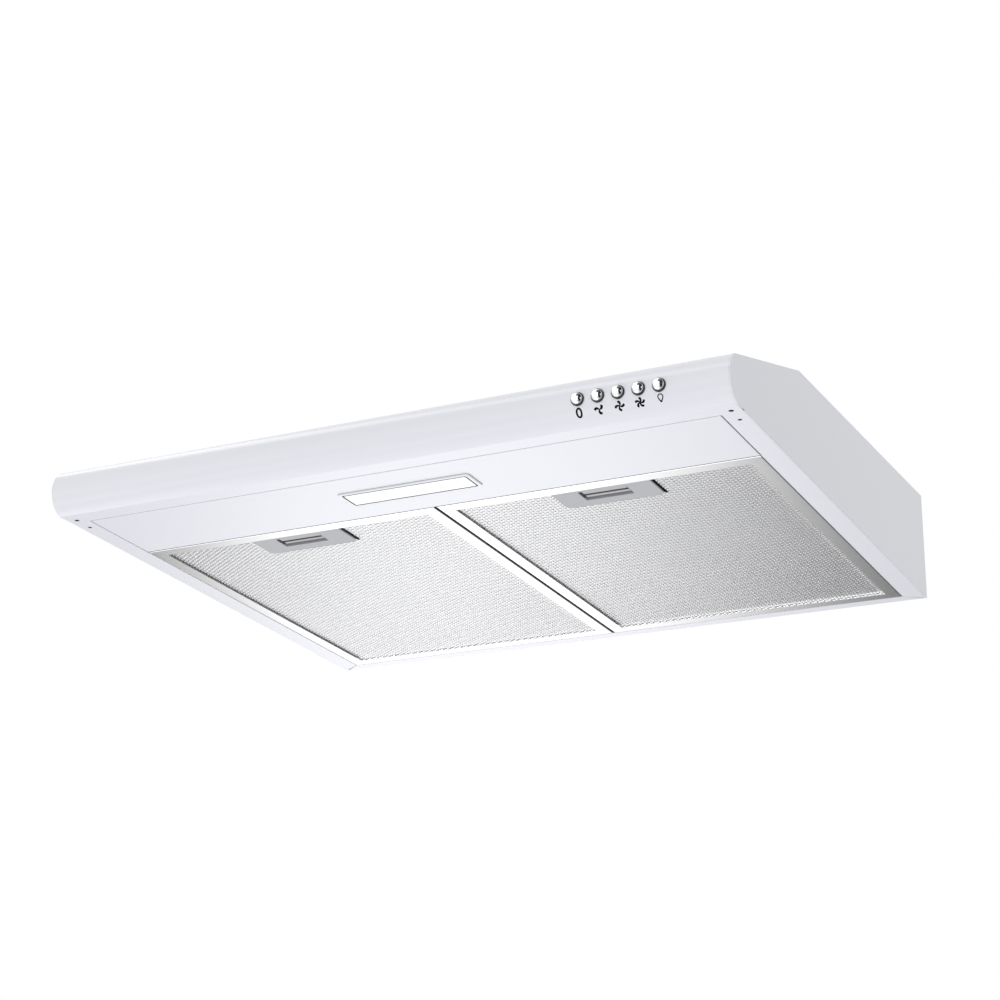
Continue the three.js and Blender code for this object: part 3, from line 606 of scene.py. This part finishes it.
def lampPanel():
    size = lampPanelSize
    x, front, rear = size["halfX"], -size["front"], -size["rear"]
    left, right = size["aside"] - x, size["aside"] + x
    flat = [(left, front, 0), (right, front, 0), (right, rear, 0), (left, rear, 0)]
    heights = (size["frontLip"], size["endLip"], size["rearLip"], size["endLip"])
    verts, faces = list(flat), [[0, 1, 2, 3]]
    for a, height in enumerate(heights):
        b = (a + 1) % 4
        verts += [(flat[b][0], flat[b][1], height), (flat[a][0], flat[a][1], height)]
        faces.append([b, a, len(verts) - 1, len(verts) - 2])
    # the lips stop short of each other at the corners
    for i in range(4, len(verts)):
        px, py, pz = verts[i]
        if i in (6, 7, 10, 11):
            verts[i] = (px, py + math.copysign(size["short"], -1 if py == rear else 1), pz)
        else:
            verts[i] = (px - math.copysign(size["short"], px), py, pz)
    panel = foldedSheet("lampPanel", verts, faces, size["bend"], underSpace)
    opening = uprightPrism("opening", [(a, b - size["lampY"]) for a, b in roundedRectangle(
        size["lampHalfX"], size["lampHalfY"], size["lampCorner"])], -3, 5, underSpace)
    cutAway(panel, [opening])
    softenEdges(panel, 0.2)
    reach, tabRear, tabFront = size["tabs"]
    pieces = [panel]
    for side in (-1, 1):
        a, b = sorted((side * (x - 1), side * reach))
        pieces.append(boxPiece("tab", a, b, -tabFront, -tabRear, 1.3, 2.3, underSpace))
    finishPiece(joined("lampPanel", pieces), silverCoat, "canopy", ["lamp_panel"])
    # near-black strips along the panel's sides, front and rear paint the shade in the gaps round it
    strips = [boxPiece("strip", a, b, front - 0.4, rear - 0.1, 0.35, 3.5, underSpace)
              for a, b in size["sideGapShades"]]
    for a in (front - 0.56, rear + 0.04):
        strips.append(boxPiece("strip", left, right, a, a + size["gapShadeWidth"], 0.15, 3, underSpace))
    finishPiece(joined("panelGapShades", strips), gapShadeBlack, "canopy")


canopyShell()
sidePanel(-1, "Left")
sidePanel(1, "Right")
frontFascia()
lampPanel()
print("canopy made")

lampSize = {"halfX": 59, "halfY": 13.5, "corner": 2.6, "proud": 1.5, "height": 15, "body": (1.9, 1.9, 1.6),
            "window": (3.0, 2.1, 1.4), "hollow": (2.9, 2.9, 1.2), "lens": (3.8, 2.9, 1.2),
            # each painted-shade ring, a dark outline for the gaps round the bezel and the lens: its outside, its
            # inside, the low and the high level
            "gapShades": [((59.43, 13.93), (59.02, 13.52), 0.05, 1.3), ((56.02, 11.42), (55.1, 10.5), -1.42, 1.3)]}


def lamp():
    size = lampSize
    space = underSpace @ Matrix.Translation((0, -lampPanelSize["lampY"], 0))
    proud = size["proud"]

    # a prism that stands in from the lamp's edge
    def within(name, key, low, high):
        insetX, insetY, corner = size[key]
        return uprightPrism(name, roundedRectangle(size["halfX"] - insetX, size["halfY"] - insetY, corner),
                            low, high, space)

    rim = roundedRectangle(size["halfX"], size["halfY"], size["corner"], 8)
    ring = cutAway(uprightPrism("lampBezel", rim, -proud, 1.6, space), [within("inside", "window", -5, 5)])
    softenEdges(ring, 0.45, 3)
    body = cutAway(within("lampBody", "body", 1.5, size["height"]),
                   [within("deep", "hollow", -2, size["height"] - 1)])
    finishPiece(joined("lampBezel", [ring, body]), whiteMoulding, "canopy", ["lamp_bezel"])
    lens = softenEdges(within("lampLens", "lens", 0.1 - proud, 1.4), 0.5, 3)
    finishPiece(lens, opalLens, "canopy", ["lamp_lens"])
    # near-black rings paint the shadow in the gaps round the bezel and round the lens
    gapShades = []
    for outside, inside, low, high in size["gapShades"]:
        gapShade = uprightPrism("gapShade", roundedRectangle(*outside, 1.5), low, high, space)
        gapShades.append(cutAway(gapShade, [uprightPrism("hole", roundedRectangle(*inside, 1.2), -5, 5, space)]))
    finishPiece(joined("lampGapShades", gapShades), gapShadeBlack, "canopy")


lamp()
print("lamp made")

buttonLook = {"profile": [(0, 0), (0.8, -0.07), (1.57, -0.28), (2.3, -0.62), (2.95, -1.09), (3.52, -1.67),
                          (3.98, -2.35), (4.32, -3.1), (4.48, -3.9), (4.5, -4.6), (4.5, -10.5), (2.5, -10.5),
                          (2.5, -31.5), (0, -31.5)],
              "collar": [(4.6, 1.1), (4.95, 1.1), (5.3, 0.75), (5.35, -1.0), (4.6, -1.0)]}
signLook = {"drop": 11.2, "lampDrop": 10.4, "proud": 0.05, "strip": 0.8, "fanRadius": 3.9, "fanStart": 0.12,
            "sweep": 50, "root": 0.7, "tip": {3: 2.2, 4: 2.0, 5: 1.8}, "firstBlade": {3: 7, 4: -33, 5: -24}}


def pushButtons():
    for name in buttonNames:
        node = f"button_{name}"
        x, _, z = middleOf(node)
        front = (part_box(node)[0][1] - wallY) * 1000
        cap = turnedPiece("button" + titled(name), buttonLook["profile"], (x, front, z), 48, "Y")
        finishPiece(cap, chromePlate, node, [node], 40)
        collar = turnedPiece("collar" + titled(name), buttonLook["collar"], (x, -hoodDepth, z), 48, "Y")
        finishPiece(collar, blackMoulding, "canopy", (), 40)


pushButtons()


def arcPoints(cx, cy, radius, start, end, steps):
    return [(cx + radius * math.cos(math.radians(start + (end - start) * i / steps)),
             cy + radius * math.sin(math.radians(start + (end - start) * i / steps))) for i in range(steps + 1)]


# the outlines of each sign, in millimetres about its centre; a second outline inside the first is a hole
def zeroSign():
    turns = [2 * math.pi * i / 40 for i in range(40)]
    return [[[(2.65 * math.cos(t), 4.15 * math.sin(t)) for t in turns],
             [(1.15 * math.cos(t), 2.6 * math.sin(t)) for t in turns]]]


# curved blades, wider towards the tip, that start just off the middle so that no two overlap
def fanSign(blades):
    shapes = []
    begin, root, tip = signLook["fanStart"], signLook["root"], signLook["tip"][blades]
    for i in range(blades):
        start = math.radians(signLook["firstBlade"][blades] + 360 * i / blades)
        left, right = [], []
        for j in range(9):
            share = j / 8
            radius = begin + (signLook["fanRadius"] - begin) * share
            turn = start + math.radians(signLook["sweep"]) * share ** 1.3
            half = 0.5 * (root + (tip - root) * math.sin(math.pi / 2 * min(1, share * 1.15)))
            half *= 1 if j < 8 else 0.6
            for side, line in ((1, left), (-1, right)):
                line.append((radius * math.cos(turn) - side * half * math.sin(turn + 0.5),
                             radius * math.sin(turn) + side * half * math.cos(turn + 0.5)))
        shapes.append([left + right[::-1]])
    return shapes


def dropSign():
    outer = arcPoints(0, 0.9, 2.35, -30, 210, 24) + [(-0.5, -3.3), (0.5, -3.3)]
    inner = arcPoints(0, 0.9, 1.55, -27, 207, 24) + [(0, -2.1)]
    return [[outer, inner]]


# fills outlines; a second one with the first is its hole
def filledOutlines(name, outlines):
    curve = bpy.data.curves.new(name, "CURVE")
    curve.dimensions = "2D"
    curve.fill_mode = "BOTH"
    for outline in outlines:
        spline = curve.splines.new("POLY")
        spline.points.add(len(outline) - 1)
        for point, (a, b) in zip(spline.points, outline):
            point.co = (a, b, 0, 1)
        spline.use_cyclic_u = True
    holder = placed(name, curve)
    graph = bpy.context.evaluated_depsgraph_get()
    flat = bpy.data.meshes.new_from_object(holder.evaluated_get(graph))
    bpy.data.objects.remove(holder)
    return flat


# cuts a sign into narrow strips, lays them on the rounded edge and gives them the ink's thickness
def printSign(name, shapes, x, drop):
    bm = bmesh.new()
    for outlines in shapes:
        bm.from_mesh(filledOutlines(name, outlines))
    for i in range(int(10 / signLook["strip"]) + 1):
        bmesh.ops.bisect_plane(bm, geom=bm.verts[:] + bm.edges[:] + bm.faces[:],
                               plane_co=(0, i * signLook["strip"] - 5, 0), plane_no=(0, 1, 0))
    bmesh.ops.remove_doubles(bm, verts=bm.verts, dist=0.001)
    for vert in bm.verts:
        vert.co.z = signLook["proud"]
    bmesh.ops.recalc_face_normals(bm, faces=bm.faces)
    for face in bm.faces:
        if face.normal.z < 0:
            face.normal_flip()
    thick = bmesh.ops.extrude_face_region(bm, geom=bm.faces[:])
    for vert in (v for v in thick["geom"] if isinstance(v, bmesh.types.BMVert)):
        vert.co.z -= 2 * signLook["proud"]
    for vert in bm.verts:
        radius = canopy["noseRadius"] + vert.co.z
        y, z = noseAt(math.degrees((vert.co.y - drop) / canopy["noseRadius"]), radius)
        vert.co = Vector((x + vert.co.x, y, z))
    finishPiece(fromBmesh(name, bm), printInk, "canopy")


signs = {"off": zeroSign(), "speed_low": fanSign(3), "speed_mid": fanSign(4), "speed_high": fanSign(5),
         "lamp": dropSign()}
for name, shapes in signs.items():
    drop = signLook["lampDrop"] if name == "lamp" else signLook["drop"]
    printSign("sign" + titled(name), shapes, middleOf(f"button_{name}")[0], drop)
print("buttons and signs made")

filterSize = {"inner": 0.75, "outer": 281.2, "rear": 13.1, "front": 373.9, "border": 12, "height": 9,
              "skin": 0.9, "round": 1.1, "hem": 1.5, "mitre": 0.06, "tabs": (70, 212), "tabHalf": 16,
              "notchHalf": 13}
meshSize = {"across": 6.7, "along": 4.56, "width": 1.45, "thick": 0.45, "lift": 0.5, "level": 1.95, "inset": 3,
            "packLow": 2.5, "packHigh": 6.5, "front": 364, "seatLeft": 0.3, "seatRight": 2.2, "seatRear": 0.3}
latchSize = {"halfX": 42.5, "rear": 328.4, "front": 361.9, "low": 0.1, "high": 7.9, "corner": 5,
             "windowHalfX": 20.8, "windowRear": 340, "windowFront": 358.5, "pocketRear": 330.5,
             "floor": 4.3, "roof": 6.4, "tongueHalfX": 10, "tongueFront": 372.6, "tongueLow": 4.3,
             "tongueHigh": 5.9, "padRear": 339.2, "gripRear": 345.2, "bars": [(348.8, 345.4), (358.1, 352.2)],
             "springHalf": 16, "springRear": 333.9, "springBow": 2.6, "springThick": 0.5}
filterX = (filterSize["inner"] + filterSize["outer"]) / 2


# one rail of the frame: a folded channel with a rolled inner edge and mitred ends
def railPiece(name, length, space):
    border, height, skin = filterSize["border"], filterSize["height"], filterSize["skin"]
    line = roundedLine([(border, filterSize["hem"]), (border, 0), (0, 0), (0, height), (border, height)],
                       filterSize["round"], 5)
    inner = offsetLine(line, -skin)
    rows, mitre = line + inner[::-1], filterSize["mitre"]
    verts = [(p + mitre, p, z) for p, z in rows] + [(length - p - mitre, p, z) for p, z in rows]
    faces = []
    count, half = len(rows), len(line)
    for i in range(count):
        j = (i + 1) % count
        faces.append((i, j, count + j, count + i))
    for i in range(half - 1):
        a, b, c, d = i, i + 1, count - 2 - i, count - 1 - i
        faces += [(a, b, c, d), (a + count, b + count, c + count, d + count)]
    return fromBmesh(name, facesOf(verts, faces), space)


def filterFrame(name, shiftX, body, node):
    size = filterSize
    width, depth = size["outer"] - size["inner"], size["front"] - size["rear"]
    base = underSpace @ Matrix.Translation((shiftX, 0, 0))
    rails = []
    for corner, turn, length in (((size["inner"], -size["front"]), 0, width),
                                 ((size["outer"], -size["front"]), 90, depth),
                                 ((size["outer"], -size["rear"]), 180, width),
                                 ((size["inner"], -size["rear"]), 270, depth)):
        place = base @ Matrix.Translation((*corner, 0)) @ Matrix.Rotation(math.radians(turn), 4, "Z")
        rails.append(railPiece("rail", length, place))
    half, front = size["notchHalf"], -size["front"]
    cutAway(rails[0], [boxPiece("notch", filterX - half, filterX + half, front - 1, front + 4, 2.4, 20, base)])
    half = size["tabHalf"]
    for x in size["tabs"]:
        tab = boxPiece("tab", x - half, x + half, -size["rear"] - 0.4, -4, 1.6, 2.8, base)
        rails.append(softenEdges(tab, 0.4))
    finishPiece(joined(name, rails), filterAlloy, body, [node])


def filterMesh(name, shiftX, body, node):
    size, latch = meshSize, latchSize
    base = underSpace @ Matrix.Translation((shiftX, 0, 0))
    x0, x1 = filterSize["inner"] + size["inset"], filterSize["outer"] - size["inset"]
    y0, y1 = -size["front"], -filterSize["rear"] - size["inset"]
    across, along = size["across"], size["along"]
    layer = runTree(name, diamonds, {
        "Across": across / 1000, "Along": along / 1000, "Points": int((x1 - x0) / (across / 2)),
        "Rows": int((y1 - y0) / (along / 2)), "Width": size["width"] / 1000,
        "Thickness": size["thick"] / 1000, "Lift": size["lift"] / 1000, "Material": meshAlloy})
    seatLeft = filterX - latch["halfX"] - size["seatLeft"]
    seatRight = filterX + latch["halfX"] + size["seatRight"]
    seatRear = -latch["rear"] + size["seatRear"]
    bm = bmesh.new()
    bm.from_mesh(layer.data)
    for vert in bm.verts:
        vert.co = vert.co * 1000 + Vector((x0, y0 + along / 2, size["level"]))
    covered = [f for f in bm.faces if seatLeft < f.calc_center_median().x < seatRight
               and f.calc_center_median().y < seatRear]
    bmesh.ops.delete(bm, geom=covered, context="FACES")
    bm.transform(base)
    bm.to_mesh(layer.data)
    bm.free()
    finishPiece(layer, meshAlloy, body, [node], 20, False)
    pack = boxPiece(name + "Pack", x0, x1, y0, y1, size["packLow"], size["packHigh"], base)
    cutAway(pack, [boxPiece("seat", seatLeft, seatRight, -380, seatRear, -5, 20, base)])
    finishPiece(pack, packAlloy, body)


def latchPieces(side, shiftX):
    size, label = latchSize, side.title()
    seat = underSpace @ Matrix.Translation((shiftX, 0, 0)) @ Matrix.Translation((filterX, 0, 0))

    def block(name, x0, x1, front, rear, low, high):
        return boxPiece(name, x0, x1, -front, -rear, low, high, seat)

    depth = size["front"] - size["rear"]
    half, front, rear = size["windowHalfX"], size["windowFront"], size["windowRear"]
    tongue, low, high = size["tongueHalfX"], size["tongueLow"], size["tongueHigh"]
    outline = [(x, y - size["front"]) for x, y in roundedRectangle(size["halfX"], depth, size["corner"], 8)]
    window = [(x, y - (rear + front) / 2) for x, y in roundedRectangle(half, (front - rear) / 2, 1.2)]
    plate = uprightPrism("latchBody" + label, outline, size["low"], size["high"], seat)
    cutAway(plate, [
        block("beyond", -150, 150, size["front"] + depth + 5, size["front"], -5, 20),
        uprightPrism("window", window, -5, size["roof"], seat),
        block("pocket", -half, half, front, size["pocketRear"], size["floor"], size["roof"]),
        block("slot", -tongue - 0.3, tongue + 0.3, size["front"] + 5, front - 1, low - 0.3, high + 0.3)])
    softenEdges(plate, 0.3, 2)
    finishPiece(plate, latchGrey, f"filter_{side}", [f"latch_body_{side}"])
    # the slider is coloured near-black as painted shade inside the window, and two grey ribs stand on it
    pad = softenEdges(block("pad", 0.4 - half, half - 0.4, front - 0.3, size["padRear"], low, high), 0.3)
    bolt = block("bolt", -tongue, tongue, size["tongueFront"], front - 1, low + 0.02, high - 0.02)
    softenEdges(bolt, 0.3)
    base = block("base", 0.8 - half, half - 0.8, front - 0.4, size["gripRear"], 1.0, 4.6)
    # a dark block on the window's left end paints that wall in shade
    end = block("end", 0.3 - half, 2.8 - half, front - 0.4, size["gripRear"], 0.5, 4.6)
    finishPiece(joined("latchSlider" + label, [pad, base, end, bolt]), latchPaintedShade, f"latch_{side}",
                [f"latch_slider_{side}"])
    ribs = [softenEdges(block("rib", 2.9 - half, half - 0.8, a, b, 0.45, 1.2), 0.5, 3) for a, b in size["bars"]]
    finishPiece(joined("latchRibs" + label, ribs), latchGrey, f"latch_{side}")
    bow = []
    for i in range(13):
        share = i / 6 - 1
        bow.append((size["springHalf"] * share, size["springBow"] * share ** 2 - size["springRear"]))
    back = [(a, b + size["springThick"]) for a, b in bow[::-1]]
    spring = uprightPrism("latchSpring" + label, bow + back, low + 0.1, high - 0.1, seat)
    finishPiece(spring, zincSteel, f"filter_{side}", [f"latch_spring_{side}"])
    # a near-black block beside the plate paints the shadow in the gap at its side
    gapShade = block("latchGapShade" + label, size["halfX"] + 0.25, size["halfX"] + 2.1, size["front"] - 0.2,
                 size["rear"] - 0.2, 1.3, 6)
    finishPiece(gapShade, gapShadeBlack, f"filter_{side}")


# a near-black strip fills the gap between the two filters as painted shade
def middleGapShade():
    inner, rear, front = filterSize["inner"], filterSize["rear"], filterSize["front"]
    strip = boxPiece("middleGapShade", -inner + 0.02, inner - 0.25, -front + 0.5, -rear - 0.5, 0.35, 7.5,
                     underSpace)
    softenEdges(strip, 0.2)
    finishPiece(strip, gapShadeBlack, "filter_left")


middleGapShade()
for side, shiftX in (("left", -2 * filterX), ("right", 0)):
    filterFrame("filterFrame" + side.title(), shiftX, f"filter_{side}", f"filter_frame_{side}")
    filterMesh("filterMesh" + side.title(), shiftX, f"filter_{side}", f"filter_mesh_{side}")
    latchPieces(side, shiftX)
print("filters made")

# CAD pieces that keep their shape
keptLooks = {
    blackSteel: ["fascia_screw_left", "fascia_screw_right"],
    zincSteel: ["switch_bracket", "motor_bracket", "capacitor_clip",
                "damper_pin", "catch_clip_left", "catch_clip_right",
                "housing_screw_1", "housing_screw_2", "housing_screw_3", "housing_screw_4"],
    blackMoulding: ["switch_block", "blower_housing_lower", "blower_housing_upper", "inlet_guard",
                    "outlet_collar", "terminal_box", "terminal_cover", "cable_gland"],
    wheelMoulding: ["impeller"], motorCase: ["motor"], chromePlate: ["motor_shaft"],
    damperGrey: ["damper_flap_left", "damper_flap_right"], boardMask: ["led_board"],
    whiteMoulding: ["led_driver", "terminal_block", "capacitor"],
    wireSheath: ["switch_loom", "motor_loom", "lamp_loom", "driver_lead"]}
for material, names in keptLooks.items():
    for name in names:
        for materialSlot in nodes[name].material_slots:
            materialSlot.material = material
print("kept pieces coated")

# the sky's strength at angles about the width of the hood: 0 is ahead of it, 90 above and -90 below
stageLook = {"floor": -1.75, "floorHalf": 1.6, "scale": 6.0,
             "soft": [(-180, 1.25), (-110, 1.2), (-75, 0.88), (-25, 0.94), (50, 0.98), (80, 0.55), (110, 0.35),
                      (180, 0.45)],
             "shine": [(-180, 1.4), (-150, 1.45), (-118, 1.7), (-84, 0.6), (-62, 1.0), (-42, 1.9), (-22, 1.5),
                       (0, 2.2), (27, 2.3), (40, 2.1), (52, 1.7), (63, 2.9), (76, 4.8), (88, 3.6), (99, 2.4),
                       (111, 1.2), (123, 0.5), (143, 0.4), (180, 0.8)],
             # each shade: where across the sky it begins, where it is full, and how much it takes away
             "softShade": (0.0, 0.8, 0.22), "rightShade": (-0.43, -0.24, 0.92),
             "leftShade": (-0.48, -0.58, 0.88), "sideShade": (0.52, 0.64, 0.97), "topShade": (-0.15, 0.1, 0.9),
             # each light: its place, the point it faces, its length and width, and its power
             "lights": {"topStrip": ((-1.2, -0.95, 2.65), (0, -0.25, 0), (5, 0.6), 13),
                        "floorBounce": ((-0.25, -0.1, -1.6), (0, 0, -0.1), (2.3, 2.3), 12.2)}}


def stage():
    floor = meshObject("floor", [(-1, -1, 0), (1, -1, 0), (1, 1, 0), (-1, 1, 0)], [(0, 1, 2, 3)],
                       Matrix.Translation((0, 0, stageLook["floor"])) @ Matrix.Scale(stageLook["floorHalf"], 4))
    floor.data.materials.append(surface("paleFloor", {"colour": (0.88, 0.88, 0.89), "rough": 0.7, "grain": 60,
                                                      "bump": 0.05}))
    world = bpy.data.worlds.new("world")
    bpy.context.scene.world = world
    world.use_nodes = True
    tree = world.node_tree
    link = tree.links.new
    sky = tree.nodes["Background"]
    place = newNode(tree, "ShaderNodeTexCoord")
    x, y, z = newNode(tree, "ShaderNodeSeparateXYZ", Vector=place.outputs["Generated"]).outputs

    def ramp(source, low, high):
        return newNode(tree, "ShaderNodeMapRange", interpolation_type="SMOOTHSTEP", From_Min=low, From_Max=high,
                       Value=source).outputs[0]

    def times(*shares):
        value = shares[0]
        for other in shares[1:]:
            value = mathNode(tree, "MULTIPLY", value, other)
        return value

    def less(share):
        return mathNode(tree, "SUBTRACT", 1.0, share)

    def blend(share, first, second):
        return mathNode(tree, "ADD", times(less(share), first), times(share, second))

    angle = mathNode(tree, "ARCTAN2", z, mathNode(tree, "MULTIPLY", y, -1.0))
    share = mathNode(tree, "ADD", mathNode(tree, "DIVIDE", angle, 2 * math.pi), 0.5)

    def bands(values):
        ramps = tree.nodes.new("ShaderNodeValToRGB")
        stops = ramps.color_ramp.elements
        for i, (turn, strength) in enumerate(values):
            stop = stops[i] if i < 2 else stops.new(0.5)
            stop.position = turn / 360 + 0.5
            stop.color = [strength / stageLook["scale"]] * 3 + [1]
        link(share, ramps.inputs[0])
        return times(ramps.outputs[0], stageLook["scale"])

    def without(key, *others):
        low, high, depth = stageLook[key]
        return less(times(ramp(x, low, high), depth, *others))

    behindBelow = times(ramp(y, 0.2, 0.5), ramp(z, -0.02, -0.12))
    shine = times(bands(stageLook["shine"]), without("rightShade", behindBelow),
                  without("leftShade", behindBelow), without("sideShade"),
                  without("topShade", ramp(z, 0.45, 0.65)))
    soft = times(bands(stageLook["soft"]), without("softShade"))
    rays = tree.nodes.new("ShaderNodeLightPath")
    strength = blend(rays.outputs["Is Glossy Ray"], soft, shine)
    link(blend(rays.outputs["Is Camera Ray"], strength, 1.0), sky.inputs["Strength"])
    sky.inputs["Color"].default_value = (1, 1, 1, 1)


def softLight(name, place, target, size, power):
    data = bpy.data.lights.new(name, "AREA")
    data.energy = power
    data.shape = "RECTANGLE"
    data.size, data.size_y = size
    light = placed(name, data)
    light.location = place
    light.rotation_mode = "QUATERNION"
    light.rotation_quaternion = (Vector(target) - Vector(place)).to_track_quat("-Z", "Y")


stage()
for name, values in stageLook["lights"].items():
    softLight(name, *values)
bpy.context.scene.view_settings.view_transform = "Standard"
print("stage made")
